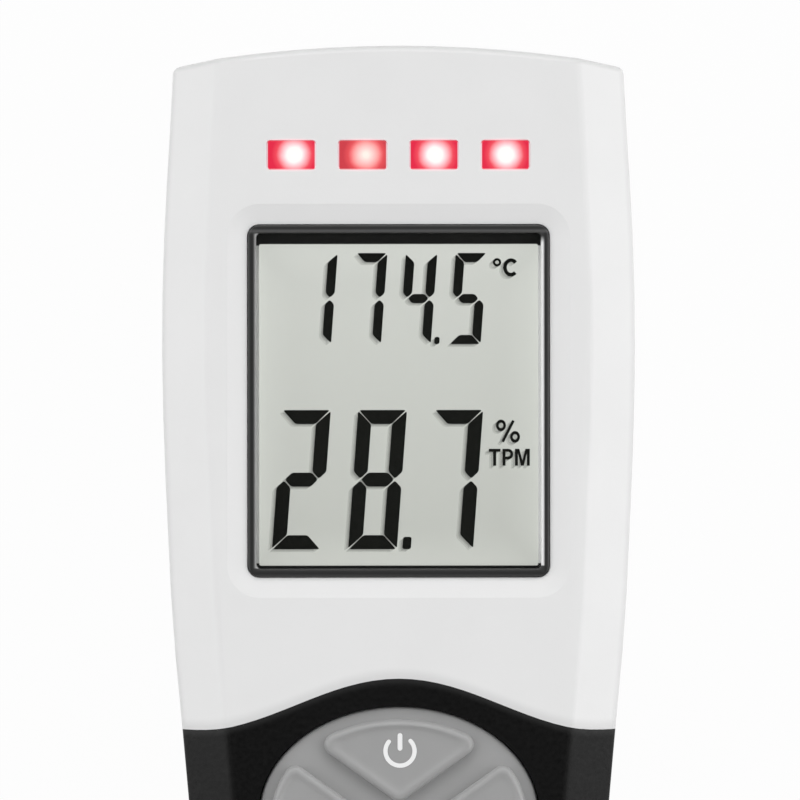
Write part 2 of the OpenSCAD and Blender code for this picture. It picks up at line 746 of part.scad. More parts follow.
// The batteries, their box and its cover
module battery_box() {
  mid = (box_s0 + box_s1) / 2;
  color("#303030") difference() {
    union() {
      slab(box_w + 2 * box_wall, box_len + 2 * box_wall, inner_floor + 1, box_top + box_wall, mid, 0.8);
      slab(box_w + box_wall, box_len + 2 * box_wall, inner_floor, inner_floor + 2, mid, 0.6);
    }
    slab(box_w, box_len, inner_floor - 1, box_top, mid, 0.3);
    for (side = [-1, 1]) translate([side * tongue_x, 0, 0])
      slab(tongue_w + 1, 8, inner_floor - 1, inner_floor + tongue_t + 1.6, box_s0 - box_wall, 0.2);
  }
}
module battery(side) {
  color("steelblue") {
    // Each cell faces the other way, with its cap on a plate and its base on a spring
    s0 = side < 0 ? box_s0 + contact_room - plate_room : box_s0 + plate_room;
    base_s = side < 0 ? s0 : s0 + cap_len;
    translate([side * battery_x, place(base_s), battery_z]) rotate([90, 0, 0])
      cylinder(h = cell_len - cap_len, r = cell_r);
    // The cap's core runs through the whole cell
    translate([side * battery_x, place(s0), battery_z]) rotate([90, 0, 0])
      cylinder(h = cell_len, r = cap_r);
  }
}
// A wire wound into a cone, from its wide end to its narrow end
module spring(x, s, way) {
  wire = spring_wire;
  turns = spring_turns;
  tall = contact_room - 2 * plate_room - 2 * wire;
  steps = 30;
  sides = 6;
  function at(i) =
    let (t = i / steps, a = 360 * turns * t, r = spring_wide - (spring_wide - spring_narrow) * t)
    [r * cos(a), way * (wire + tall * t), r * sin(a)];
  points = [for (i = [0 : steps]) for (j = [0 : sides - 1])
    let (t = i / steps, a = 360 * turns * t, b = 360 * j / sides, c = at(i))
    c + [wire * cos(b) * cos(a), wire * sin(b), wire * cos(b) * sin(a)]];
  faces = concat([[for (j = [0 : sides - 1]) j]],
    [for (i = [0 : steps - 1]) for (j = [0 : sides - 1])
      let (a = i * sides + j, b = i * sides + (j + 1) % sides)
      each [[a, a + sides, b], [b, a + sides, b + sides]]],
    [[for (j = [sides - 1 : -1 : 0]) steps * sides + j]]);
  translate([x, place(s), battery_z]) polyhedron(points, faces, convexity = 8);
}
module battery_springs() {
  color("silver") {
    spring(-battery_x, box_s0 + plate_room, -1);
    spring(battery_x, box_s1 - plate_room, 1);
  }
}
module battery_plates() {
  color("gainsboro") for (side = [-1, 1], end = [0, 1])
    translate([side * battery_x, place(end == 0 ? box_s0 + plate_room / 2 : box_s1 - plate_room / 2),
      battery_z]) cube([plate_side, plate_room, plate_side], center = true);
}
module cover_cut() {
  mid = (box_s0 + box_s1) / 2;
  slab(cover_w + 2 * cover_slip, cover_len + 2 * cover_slip, -1, inner_floor + 0.01, mid, 2);
}
module battery_cover() {
  mid = (box_s0 + box_s1) / 2;
  color("#202020") {
    difference() {
      slab(cover_w, cover_len, cover_z, cover_top, mid, 2 - cover_slip);
      slab(cover_w - 2 * cover_rim, cover_len - 2 * cover_rim, cover_z + cover_t, inner_floor + 1, mid, 1);
      // Finger groove at the end that lifts first
      translate([0, place(box_s1 - groove_r), cover_z + 0.6 - groove_r]) rotate([0, 90, 0])
        cylinder(h = groove_w, r = groove_r, center = true);
    }
    for (side = [-1, 1]) translate([side * tongue_x, 0, 0]) {
      slab(tongue_w, tongue_neck, cover_z + 0.5, inner_floor + 0.25 + tongue_t,
        hinge_s + tongue_neck / 2, 0.2);
      slab(tongue_w, tongue_reach + tongue_neck, inner_floor + 0.25, inner_floor + 0.25 + tongue_t,
        hinge_s + (tongue_neck - tongue_reach) / 2, 0.2);
    }
  }
}
module cover_seal() {
  mid = (box_s0 + box_s1) / 2;
  color("dimgray") difference() {
    slab(cover_w - 0.1, cover_len - 0.1, cover_top, cover_top + cover_seal_t, mid, 1.6);
    slab(cover_w - 2 * cover_rim, cover_len - 2 * cover_rim, cover_top - 1, inner_floor + 1, mid, 1);
    for (side = [-1, 1]) translate([side * tongue_x, 0, 0])
      slab(tongue_w + 0.2, 4, cover_top - 1, inner_floor + 1, hinge_s + 0.7, 0.2);
  }
}

// The probe, from the collar to the sensor
module probe_collar() {
  color("#1c1c1c") difference() {
    union() {
      along(wall_end_s - collar_flange_t, wall_end_s, collar_flange_r);
      along(wall_end_s - 0.5, body_len + 0.5, collar_neck_r);
      translate([0, place(body_len), axis_z]) rotate([90, 0, 0]) rotate_extrude()
        polygon(concat([[0, 0], [collar_r - 0.6, 0]],
          [for (i = [0 : 12]) let (t = i / 12)
            [collar_tip_r + (collar_r - collar_tip_r) * pow(1 - t, 1.7), 0.6 + (collar_len - 1.4) * t]],
          [[collar_tip_r - 0.8, collar_len], [0, collar_len]]));
    }
    along(tube_end_s - 5, collar_s + 1, tube_r);
    along(collar_s - 6, collar_s - 6 + 2 * seal_r, tube_r + 2 * seal_r);
  }
}
module collar_seal() {
  color("firebrick") translate([0, place(collar_s - 6 + seal_r), axis_z]) rotate([90, 0, 0])
    rotate_extrude() translate([tube_r + seal_r, 0]) circle(seal_r);
}
module tube_nut() {
  color("silver") translate([0, place(tube_end_s + 2), axis_z]) rotate([90, 0, 0]) difference() {
    cylinder(h = 3.4, r = tube_r + 2.1, $fn = 6);
    translate([0, 0, -1]) cylinder(h = 6, r = tube_r);
  }
}
module probe_tube() {
  color("lightgray") difference() {
    along(tube_end_s, guard_s - 1, tube_r);
    along(tube_end_s - 1, guard_s, tube_r - tube_wall);
  }
}
module tip_socket() {
  color("silver") difference() {
    union() {
      along(socket_s, socket_s + 2.2, tube_r + 0.15, socket_r);
      along(socket_s + 2.2, guard_s, socket_r);
    }
    along(socket_s - 1, guard_s - 1, tube_r);
    translate([0, place(guard_s), axis_z]) cube([plate_w, 2 * plate_w, plate_t], center = true);
  }
}
module sensor_guard() {
  mid = (guard_s + tip_s) / 2;
  color("silver") difference() {
    intersection() {
      slab(guard_w, guard_len, axis_z - guard_t / 2, axis_z + guard_t / 2, mid, 3);
      along(guard_s - 1, tip_s + 1, guard_w / 2 + 0.2);
    }
    // Window through the guard, with round ends
    slab(window_w, window_len, axis_z - guard_t, axis_z + guard_t, window_s, window_w / 2 - 0.01);
    // The plate's slot at the root of the guard
    translate([0, place(guard_s + root_len / 2), axis_z]) cube([plate_w, root_len, plate_t], center = true);
    for (i = [-2 : 2]) translate([0, place(window_s + i * 4.6), axis_z]) rotate([0, 90, 0])
      cylinder(h = 2 * guard_w, r = 1.3, center = true);
  }
}
module sensor_plate() {
  color("ivory") slab(plate_w, window_len + 2.5, axis_z - plate_t / 2, axis_z + plate_t / 2,
    guard_s + (window_len + 2.5) / 2, 0.4);
}
module sensor_tracks() {
  top = axis_z + plate_t / 2;
  start = plate_seal_s + 5.6;
  comb_len = finger_count * finger_pitch;
  finger_len = plate_w - 2 * track_edge - finger_gap;
  color("goldenrod") for (side = [-1, 1]) translate([0, place(start), top]) {
    translate([side * (plate_w / 2 - track_edge) - track_w / 2, -comb_len])
      cube([track_w, comb_len + 4.4, track_t]);
    // The fingers of one comb reach between those of the other
    for (i = [0 : finger_count - 1])
      translate([-plate_w / 2 + track_edge + (side < 0 ? 0 : finger_gap),
        -(i + (side < 0 ? 0.25 : 0.75)) * finger_pitch]) cube([finger_len, finger_w, track_t]);
  }
}
module heat_sensor() {
  color("whitesmoke")
    slab(1.8, 2.6, axis_z + plate_t / 2, axis_z + plate_t / 2 + 0.9, plate_seal_s + 2.6, 0.3);
}
module plate_seal() {
  color("firebrick") difference() {
    slab(window_w, 1.6, axis_z - 2.4, axis_z + 2.4, plate_seal_s, 0.2);
    slab(plate_w, 3, axis_z - plate_t / 2, axis_z + plate_t / 2, plate_seal_s, 0.1);
  }
}
module sensor_cable() {
  sides = 8;
  n = len(cable_route);
  function heading(i) =
    let (a = cable_route[max(i - 1, 0)], b = cable_route[min(i + 1, n - 1)], d = [a[0] - b[0], b[1] - a[1]])
    d / norm(d);
  points = [for (i = [0 : n - 1]) for (j = [0 : sides - 1])
    let (c = cable_route[i], h = heading(i), b = 360 * j / sides)
    [cable_r * cos(b), place(c[0]) - cable_r * sin(b) * h[1], c[1] + cable_r * sin(b) * h[0]]];
  faces = concat([[for (j = [0 : sides - 1]) j]],
    [for (i = [0 : n - 2]) for (j = [0 : sides - 1])
      let (a = i * sides + j, b = i * sides + (j + 1) % sides)
      each [[a, a + sides, b], [b, a + sides, b + sides]]],
    [[for (j = [sides - 1 : -1 : 0]) (n - 1) * sides + j]]);
  color("dimgray") polyhedron(points, faces, convexity = 4);
}
module cable_plug() {
  color("white") slab(plug_w, plug_len, board_z + plug_z - plug_t / 2, board_z + plug_z + plug_t / 2,
    plug_s + plug_len / 2, 0.2);
}

front_shell();
back_shell();
front_grip();
back_grip();
shell_seal();
housing_screws();
display_bezel();
display_lens();
display_mask();
display_cell();
display_backlight();
contact_strips();
circuit_board();
board_screws();
lamp_window(0);  // lamp_window_1
lamp_window(1);  // lamp_window_2
lamp_window(2);  // lamp_window_3
lamp_window(3);  // lamp_window_4
signal_lamps();
processor_chip();
memory_chip();
buzzer();
key_contacts();
cable_socket();
keypad_mat();
key("up");  // power_key
key("left");  // left_key
key("right");  // right_key
key("down");  // lower_key
battery_box();
battery(-1);  // battery_left
battery(1);  // battery_right
battery_springs();
battery_plates();
battery_cover();
cover_seal();
sensor_cable();
cable_plug();
probe_collar();
collar_seal();
tube_nut();
probe_tube();
tip_socket();
sensor_guard();
sensor_plate();
sensor_tracks();
heat_sensor();
plate_seal();
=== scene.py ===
"""The look of a handheld frying oil tester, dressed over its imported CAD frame."""

import json
import math

import bmesh
import bpy
from mathutils import Matrix, Vector
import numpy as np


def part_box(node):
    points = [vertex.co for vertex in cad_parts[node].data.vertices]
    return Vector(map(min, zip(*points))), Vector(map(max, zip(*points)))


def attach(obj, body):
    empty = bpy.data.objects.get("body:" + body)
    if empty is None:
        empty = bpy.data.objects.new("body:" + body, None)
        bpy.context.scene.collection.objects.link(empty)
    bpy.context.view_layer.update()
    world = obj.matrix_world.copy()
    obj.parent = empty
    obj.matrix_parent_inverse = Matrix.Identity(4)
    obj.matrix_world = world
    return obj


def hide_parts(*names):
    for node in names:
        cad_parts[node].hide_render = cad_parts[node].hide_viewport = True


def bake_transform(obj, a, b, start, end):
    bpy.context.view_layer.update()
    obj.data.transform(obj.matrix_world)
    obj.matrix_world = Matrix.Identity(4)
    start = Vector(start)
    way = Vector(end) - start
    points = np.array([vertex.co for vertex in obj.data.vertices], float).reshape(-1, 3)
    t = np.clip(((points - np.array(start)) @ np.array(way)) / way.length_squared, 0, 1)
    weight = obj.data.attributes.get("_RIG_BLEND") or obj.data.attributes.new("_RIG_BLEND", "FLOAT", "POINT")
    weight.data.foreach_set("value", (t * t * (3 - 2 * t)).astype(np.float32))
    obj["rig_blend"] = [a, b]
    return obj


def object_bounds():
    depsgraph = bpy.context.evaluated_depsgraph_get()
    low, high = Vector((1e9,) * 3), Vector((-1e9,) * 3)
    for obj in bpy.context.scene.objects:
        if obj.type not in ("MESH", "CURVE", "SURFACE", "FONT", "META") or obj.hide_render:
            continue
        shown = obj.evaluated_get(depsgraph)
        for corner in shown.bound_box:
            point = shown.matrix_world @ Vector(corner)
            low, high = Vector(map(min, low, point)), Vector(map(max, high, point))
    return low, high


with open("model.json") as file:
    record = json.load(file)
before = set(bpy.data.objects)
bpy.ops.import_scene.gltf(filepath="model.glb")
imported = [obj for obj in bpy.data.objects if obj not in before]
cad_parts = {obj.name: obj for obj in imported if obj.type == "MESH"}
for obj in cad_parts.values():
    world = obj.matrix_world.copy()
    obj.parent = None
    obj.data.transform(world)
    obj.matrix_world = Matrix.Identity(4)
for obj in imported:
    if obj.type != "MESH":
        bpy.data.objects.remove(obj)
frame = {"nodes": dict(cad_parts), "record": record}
cad_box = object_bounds()

MM = 0.001
HEAD_Y = cad_box[1][1]


def place(s):
    """The Y of a place given as its distance in millimetres from the head end."""
    return HEAD_Y - s * MM


# Shader building


class Field:
    """A value or colour that changes over a surface; Python's operators add the Math nodes."""

    def __init__(self, finish, socket):
        self.finish, self.socket = finish, socket

    def maths(self, operation, *terms):
        """One Math node on the given terms."""
        return self.finish.add("ShaderNodeMath", {"operation": operation}, list(terms))

    def wrapped(self, span):
        """The value folded into the range from 0 to span."""
        return self.maths("WRAP", self, span, 0.0)

    def __add__(self, other):
        return self.maths("ADD", self, other)

    def __sub__(self, other):
        return self.maths("SUBTRACT", self, other)

    def __mul__(self, other):
        return self.maths("MULTIPLY", self, other)

    def __truediv__(self, other):
        return self.maths("DIVIDE", self, other)

    def __pow__(self, other):
        return self.maths("POWER", self, other)

    def __rsub__(self, other):
        return self.maths("SUBTRACT", other, self)

    def __abs__(self):
        return self.maths("ABSOLUTE", self)

    __radd__ = __add__
    __rmul__ = __mul__

    def least(self, other):
        """The smaller of two values."""
        return self.maths("MINIMUM", self, other)

    def most(self, other):
        """The larger of two values."""
        return self.maths("MAXIMUM", self, other)

    def step(self, low, high):
        """0 below low, 1 above high, and a smooth rise between them."""
        return self.finish.add(
            "ShaderNodeMapRange",
            {"interpolation_type": "SMOOTHSTEP"},
            {"Value": self, "From Min": low, "From Max": high},
        )


class Finish:
    """One material: a Principled shader with plain constants, and fields where it varies."""

    def __init__(self, name, **constants):
        self.material = bpy.data.materials.new(name)
        self.material.use_nodes = True
        self.tree = self.material.node_tree
        self.tree.nodes.clear()
        self.shader = self.tree.nodes.new("ShaderNodeBsdfPrincipled")
        self.output = self.tree.nodes.new("ShaderNodeOutputMaterial")
        self.tree.links.new(self.shader.outputs[0], self.output.inputs[0])
        for words, value in constants.items():
            self.feed(self.shader.inputs[words.replace("_", " ")], value)

    def feed(self, socket, value):
        """Links a field to a socket, or sets the socket to a plain number or colour."""
        if isinstance(value, Field):
            self.tree.links.new(value.socket, socket)
        elif socket.type == "RGBA" and len(value) == 3:
            socket.default_value = (*value, 1.0)
        else:
            socket.default_value = value

    def add(self, kind, settings=None, sockets=None, out=0):
        """A node of a kind, with its settings, its sockets' values, and its output as a field."""
        node = self.tree.nodes.new(kind)
        for key, value in (settings or {}).items():
            if key == "stops":
                ramp = node.color_ramp
                while len(ramp.elements) < len(value):
                    ramp.elements.new(0.5)
                for element, (position, colour) in zip(ramp.elements, value):
                    element.position, element.color = position, (*colour, 1.0)
            else:
                setattr(node, key, value)
        pairs = sockets.items() if isinstance(sockets, dict) else enumerate(sockets or [])
        for key, value in pairs:
            self.feed(node.inputs[key], value)
        return Field(self, node.outputs[out])

    def vary(self, **fields):
        """Feeds the shader's sockets, named with underscores for spaces."""
        for words, value in fields.items():
            self.feed(self.shader.inputs[words.replace("_", " ")], value)
        return self

    def where(self):
        """Object coordinates as three fields in millimetres: x, s from the head end, and z."""
        spot = self.add("ShaderNodeTexCoord", out="Object")
        split = [self.add("ShaderNodeSeparateXYZ", None, [spot], out=i) for i in range(3)]
        return split[0] * 1000, HEAD_Y * 1000 - split[1] * 1000, split[2] * 1000

    def noise(self, size, detail=2.0, stretch=(1, 1, 1), rough=0.5):
        """Soft noise around 0.5 whose features are about size millimetres."""
        spot = self.add("ShaderNodeTexCoord", out="Object")
        scaled = self.add("ShaderNodeMapping", None, {"Vector": spot, "Scale": stretch})
        return self.add(
            "ShaderNodeTexNoise",
            None,
            {"Vector": scaled, "Scale": 1000 / size, "Detail": detail, "Roughness": rough},
        )

    def mix(self, share, first, second):
        """The first colour at a share of 0, the second at 1."""
        sockets = {0: share, 6: first, 7: second}
        return self.add("ShaderNodeMix", {"data_type": "RGBA"}, sockets, out=2)

    def relief(self, height, depth):
        """Bumps: height from 0 to 1 stands for depth millimetres."""
        bump = self.add("ShaderNodeBump", None, {"Height": height, "Distance": depth * MM})
        return self.vary(Normal=bump)


def grey(level):
    """The linear value of a grey that shows as level out of 255."""
    v = level / 255
    v = v / 12.92 if v <= 0.04045 else ((v + 0.055) / 1.055) ** 2.4
    return (v, v, v)


def tint(r, g, b):
    """The linear colour of three levels out of 255."""
    return tuple(grey(v)[0] for v in (r, g, b))


# The housing's places that its finishes follow, in millimetres

LAMP_LOW, LAMP_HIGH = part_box("lamp_window_1")
LAMP_S = (HEAD_Y - (LAMP_LOW.y + LAMP_HIGH.y) / 2) / MM
LAMP_PITCH = (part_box("lamp_window_2")[0].x - LAMP_LOW.x) / MM
# A window's flange lies hidden behind the front
LAMP_FLANGE = 0.5
LAMP_HALF = [(high - low) / 2 / MM - LAMP_FLANGE for low, high in zip(LAMP_LOW.xy, LAMP_HIGH.xy)]
LAMP_ROW_HALF = 16.2
# Levels of the front and of its facets' outer edges
FRONT_Z, FACET_Z = 27.0, 24.0
# The head end's upper edge: its half width, and how much further down it lies there
END_HALF, END_CROWN = 25.9, 2.3
# The joint of the white and the black, over the front: its place at the sides, rise, half width
ARCH_S, ARCH_RISE, ARCH_HALF = 78.3, 6.0, 23.5


# Finishes


def past_arch(x, s):
    """How far a place lies below the joint's arch, in millimetres."""
    turn = (abs(x) / ARCH_HALF).least(1.0) * math.pi
    return s - (ARCH_S - ARCH_RISE / 2) + turn.maths("COSINE", turn) * (ARCH_RISE / 2)


def moulded_white():
    """Satin white plastic with a very fine grain, and painted shade along its edges; the lamps' light creeps
    into it round them.
    """
    f = Finish("moulded_white", Specular_IOR_Level=0.4, Emission_Strength=1.0)
    x, s, z = f.where()
    cloud = f.noise(9, 3)
    grain = f.noise(0.28, 2)
    across = abs(x.wrapped(LAMP_PITCH) - LAMP_PITCH / 2)
    away = (across - LAMP_HALF[0]).most(abs(s - LAMP_S) - LAMP_HALF[1])
    halo = away.step(0.42, 0.08) * across.step(3.4, 0.4) * z.step(FRONT_Z - 1.0, FRONT_Z - 0.5)
    halo = halo * abs(x).step(LAMP_ROW_HALF, LAMP_ROW_HALF - 0.1)
    # Painted shade along its edge at the joint with the grip
    joint_shade = past_arch(x, s).step(-1.5, 0.0) * 0.5
    # Painted shade too along its upper edge round the head end, and a weaker one along the facets' outer
    # edges
    from_end = s - (x / END_HALF) ** 2.0 * END_CROWN
    outer = z.step(FACET_Z + 0.45, FACET_Z + 0.05) * 0.4
    rim = from_end.step(0.8, 0.2).most(outer) * z.step(FACET_Z - 4.0, FACET_Z - 2.0)
    white = f.mix(cloud, grey(233), grey(238))
    f.vary(
        # rim holds the painted edge shade and joint_shade the painted shade at the joint
        Base_Color=f.mix(rim, f.mix(joint_shade, white, grey(203)), grey(212)),
        Emission_Color=f.mix(halo, (0, 0, 0), (0.2, 0.02, 0.05)),
        Roughness=0.38 + 0.1 * grain,
    )
    return f.relief(grain, 0.006).material


def soft_black():
    """Rubbery black skin of the grip, matt, with a fine even grain."""
    f = Finish("soft_black", Specular_IOR_Level=0.17)
    x, s, _ = f.where()
    cloud = f.noise(14, 3)
    grain = f.noise(0.5, 3)
    # A painted highlight along its lip at the joint
    lip_highlight = past_arch(x, s).step(1.0, 0.0) * 0.8
    black = f.mix(grain * 0.7 + cloud * 0.3, grey(4), grey(18))
    f.vary(Base_Color=f.mix(lip_highlight, black, grey(44)), Roughness=0.28 + 0.34 * grain)
    return f.relief(grain, 0.03).material


def plain(name, colour, rough, size=0.4, depth=0.006, spread=0.06, **constants):
    """A moulded or cast surface: slight clouding, a grain in its gloss and its relief."""
    f = Finish(name, **constants)
    cloud = f.noise(6, 2)
    grain = f.noise(size, 2)
    dark = tuple(c * (1 - spread) for c in colour)
    light = tuple(min(c * (1 + spread), 1.0) for c in colour)
    f.vary(Base_Color=f.mix(cloud, dark, light), Roughness=rough - 0.05 + 0.1 * grain)
    return f.relief(grain, depth).material


def brushed(name, colour, stretch, rough=0.28):
    """Steel with fine lines along one direction."""
    f = Finish(name, Metallic=1.0)
    lines = f.noise(0.12, 3, stretch)
    wear = f.noise(7, 3)
    f.vary(
        Base_Color=f.mix(wear, colour, tuple(c * 0.86 for c in colour)),
        Roughness=rough + 0.16 * lines + 0.06 * wear,
    )
    return f.relief(lines, 0.004).material


def assign(piece, material):
    piece.data.materials.clear()
    piece.data.materials.append(material)


# Mesh helpers

BODIES = {n: b for b, ns in frame["record"]["behaviour"]["bodies"].items() for n in ns}
# Loose triangles are joined where their corners are this close, in metres
JOIN = 2e-6


def new_piece(name, bm, material, body, smooth=True):
    """Turns a bmesh into an object at the origin, riding on its body if it has one."""
    mesh = bpy.data.meshes.new(name)
    for face in bm.faces:
        face.smooth = smooth
    bm.to_mesh(mesh)
    bm.free()
    piece = place_object(name, mesh)
    assign(piece, material)
    if body:
        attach(piece, body)
    return piece


def place_object(name, data):
    """A new object in the scene."""
    thing = bpy.data.objects.new(name, data)
    bpy.context.scene.collection.objects.link(thing)
    return thing


def face_up(bm):
    """Turns the faces of a flat shape to the front."""
    for face in bm.faces:
        face.normal_update()
        if face.normal.z < 0:
            face.normal_flip()


def smooth_copy(node, material, corner=30, edge=0.0, segments=2):
    """A node's own shape with joined faces, smooth curves, crisp corners and small edge radii."""
    bm = bmesh.new()
    bm.from_mesh(frame["nodes"][node].data)
    bmesh.ops.remove_doubles(bm, verts=bm.verts, dist=JOIN)
    bmesh.ops.dissolve_limit(bm, angle_limit=math.radians(0.4), verts=bm.verts, edges=bm.edges)
    for e in bm.edges:
        turn = e.calc_face_angle(0.0)
        # The flat front keeps an edge wherever it meets a slope
        level = [f.normal.z > 0.99999 for f in e.link_faces]
        crease = any(level) and not all(level) and turn > math.radians(4)
        e.smooth = turn < math.radians(corner) and not crease
    piece = new_piece(node + "_skin", bm, material, BODIES[node])
    for layer in [a for a in piece.data.attributes if a.name == "custom_normal"]:
        piece.data.attributes.remove(layer)
    if edge:
        bevel = piece.modifiers.new("edges", "BEVEL")
        bevel.width, bevel.segments = edge * MM, segments
        bevel.limit_method, bevel.angle_limit = "ANGLE", math.radians(corner)
        bevel.harden_normals = True
    else:
        # Wide faces keep their own direction, and the narrow ones between them turn
        spread = piece.modifiers.new("wide_faces_flat", "WEIGHTED_NORMAL")
        spread.weight, spread.keep_sharp = 100, True
    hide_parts(node)
    return piece


# The housing and every node that keeps its own shape

WHITE = moulded_white()
BLACK = soft_black()
STEEL = brushed("probe_steel", (0.62, 0.61, 0.59), (1, 0.03, 1))
BRIGHT = brushed("turned_steel", (0.66, 0.65, 0.63), (1, 1, 0.05), 0.24)
DARK = plain("dark_housing", grey(30), 0.5, 0.5, 0.012)
RUBBER = plain("seal_rubber", grey(52), 0.6, 0.4, 0.01)
RED_RUBBER = plain("red_silicone", tint(150, 42, 34), 0.5, 0.4, 0.008)
CERAMIC = plain("ceramic", tint(232, 228, 214), 0.38, 0.15, 0.003)
GOLD = plain("gold_track", (0.83, 0.6, 0.24), 0.28, 0.1, 0.002, Metallic=1.0)
CHIP = plain("chip_resin", grey(34), 0.5, 0.2, 0.006)
NYLON = plain("nylon", tint(226, 224, 214), 0.45)
GUIDE = plain("light_guide", tint(226, 230, 224), 0.3)
STRIP = plain("strip_rubber", tint(206, 140, 150), 0.5)

# Each node's finish, the angle in degrees from which its edges are crisp, and their radius in mm
FINISHES = {
    "front_shell": (WHITE, 32, 0.0),
    "back_shell": (WHITE, 32, 0.0),
    "front_grip": (BLACK, 32, 0.0),
    "back_grip": (BLACK, 32, 0.0),
    "shell_seal": (RUBBER, 30, 0.0),
    "housing_screws": (BRIGHT, 30, 0.08),
    "display_backlight": (GUIDE, 30, 0.0),
    "contact_strips": (STRIP, 30, 0.1),
    "board_screws": (BRIGHT, 30, 0.0),
    "signal_lamps": (GUIDE, 30, 0.08),
    "processor_chip": (CHIP, 30, 0.08),
    "memory_chip": (CHIP, 30, 0.08),
    "buzzer": (CHIP, 30, 0.12),
    "key_contacts": (GOLD, 30, 0.0),
    "cable_socket": (NYLON, 30, 0.08),
    "cable_plug": (NYLON, 30, 0.08),
    "sensor_cable": (RUBBER, 60, 0.0),
    "battery_box": (DARK, 30, 0.1),
    "battery_springs": (BRIGHT, 60, 0.0),
    "battery_plates": (BRIGHT, 30, 0.0),
    "battery_cover": (DARK, 30, 0.15),
    "cover_seal": (RUBBER, 30, 0.0),
    "probe_collar": (DARK, 30, 0.15),
    "collar_seal": (RED_RUBBER, 30, 0.0),
    "tube_nut": (BRIGHT, 30, 0.1),
    "probe_tube": (STEEL, 30, 0.0),
    "tip_socket": (STEEL, 30, 0.08),
    "sensor_guard": (STEEL, 30, 0.2),
    "sensor_plate": (CERAMIC, 30, 0.06),
    "heat_sensor": (CERAMIC, 30, 0.08),
    "plate_seal": (RED_RUBBER, 30, 0.1),
}
for node, (material, corner, edge) in FINISHES.items():
    smooth_copy(node, material, corner, edge)
assign(frame["nodes"]["sensor_tracks"], GOLD)


# The circuit board and the cells


def board_green():
    """Green lacquer over raised copper lanes."""
    f = Finish("board_green", Specular_IOR_Level=0.5)
    x, s, _ = f.where()
    rows = abs(x.maths("SINE", x * 4.2)).step(0.9, 0.97)
    lanes = abs(s.maths("SINE", s * 2.9)).step(0.94, 0.98)
    copper = rows.most(lanes)
    f.vary(
        Base_Color=f.mix(copper, tint(18, 84, 44), tint(34, 112, 62)),
        Roughness=0.4 + 0.1 * f.noise(1.5, 2),
    )
    return f.relief(copper, 0.03).material


# A cell's wrap, in mm from its middle: its half length, and its pale bands' places and half width
WRAP_HALF, BAND_AT, BAND_HALF = 21.0, 13, 2.4


def cell_wrap():
    """Printed foil wrap: a dark blue body, two pale bands and bare steel ends."""
    f = Finish("cell_wrap", Coat_Weight=0.4, Coat_Roughness=0.2)
    s = f.where()[1]
    first, last = (HEAD_Y - v.y for v in reversed(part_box("battery_left")))
    reach = abs(s - (first + last) / 2 / MM)
    bare = reach.step(WRAP_HALF, WRAP_HALF + 0.2)
    band = abs(reach - BAND_AT).step(BAND_HALF, BAND_HALF - 0.2)
    paint = f.mix(band, tint(28, 52, 92), tint(196, 200, 204))
    f.vary(
        Base_Color=f.mix(bare, paint, (0.6, 0.6, 0.58)),
        Metallic=bare,
        Roughness=0.3 + 0.08 * f.noise(0.5, 2),
    )
    return f.material


smooth_copy("circuit_board", board_green(), 30)
CELL_WRAP = cell_wrap()
for node in ("battery_left", "battery_right"):
    smooth_copy(node, CELL_WRAP, 30, 0.25, 3)


# The display

GLASS_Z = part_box("display_cell")[1].z
# The pale panel that shows inside the mask: its ends and its half width, in mm
PANEL_TOP_S, PANEL_END_S, PANEL_HALF = 22.9, 59.4, 16.2
# The bare glass edges beside the mask's print: their ends and where they start, in mm
BARE_TOP_S, BARE_END_S, BARE_FROM = 22.8, 59.2, 15.9
# The bezel's flange lies hidden behind the front
BEZEL_FLANGE = 1.2
# What lies under the lens is drawn larger by this, about the middle of the display
UNDER_LENS = 1.0065
MIDDLE = Vector((0.26, 40.5))


def under_lens(x, s):
    """The place on the cell of a mark that shows at x and s, in millimetres."""
    x, s = MIDDLE + (Vector((x, s)) - MIDDLE) * UNDER_LENS
    return Vector((x * MM, place(s)))


def liquid_crystal():
    """Pale grey-green panel that glows, partly for its backlight and partly as painted light that evens out
    its shade, with painted fill light along its edges where the bezel shades it; a little darker downwards.
    """
    f = Finish("liquid_crystal", Specular_IOR_Level=0.2, Emission_Strength=1.0)
    x, s, _ = f.where()
    fall = (s - PANEL_TOP_S) / (PANEL_END_S - PANEL_TOP_S)
    cloud = f.noise(5, 3)
    tone = f.mix(fall, tint(150, 152, 147), tint(142, 144, 138))
    light = f.mix(fall, (0.455, 0.467, 0.44), (0.362, 0.372, 0.348))
    rim = (PANEL_HALF - abs(x)).least(s - PANEL_TOP_S).least(PANEL_END_S - s)
    # Painted fill light along the panel's edges, where the bezel shades them
    edge_fill_light = 1 - rim.step(-1.0, 5.0)
    f.vary(
        Base_Color=f.mix(cloud * 0.25, tone, tint(147, 150, 145)),
        Emission_Color=f.mix(edge_fill_light * 0.2, light, tint(250, 253, 246)),
        Roughness=0.5 + 0.1 * f.noise(0.2, 2),
    )
    return f.material


def masked_edge():
    """Black print along the top and the bottom, and a painted highlight on the glass edges at the sides,
    lighter on the right.
    """
    f = Finish("mask_print_and_glint")
    x, s, _ = f.where()
    span = s.step(BARE_TOP_S - 0.05, BARE_TOP_S + 0.05)
    span = span * s.step(BARE_END_S + 0.05, BARE_END_S - 0.05)
    side = span * abs(x).step(BARE_FROM, BARE_FROM + 0.1)
    # Painted highlight on the glass edges at the sides, lighter on the right
    edge_glint = f.mix(x.step(-1.0, 1.0), tint(206, 208, 204), tint(240, 242, 240))
    f.vary(
        Base_Color=f.mix(side, tint(20, 20, 19), edge_glint),
        Roughness=0.35 + 0.1 * f.noise(0.4, 2),
    )
    return f.material


def clear_lens():
    """Clear hard plastic, as a thin dark film with a gloss."""
    f = Finish("clear_lens", Base_Color=(0.02, 0.022, 0.02), Alpha=0.06, Specular_IOR_Level=0.5)
    f.vary(Roughness=0.04 + 0.03 * f.noise(3, 2))
    return f.material


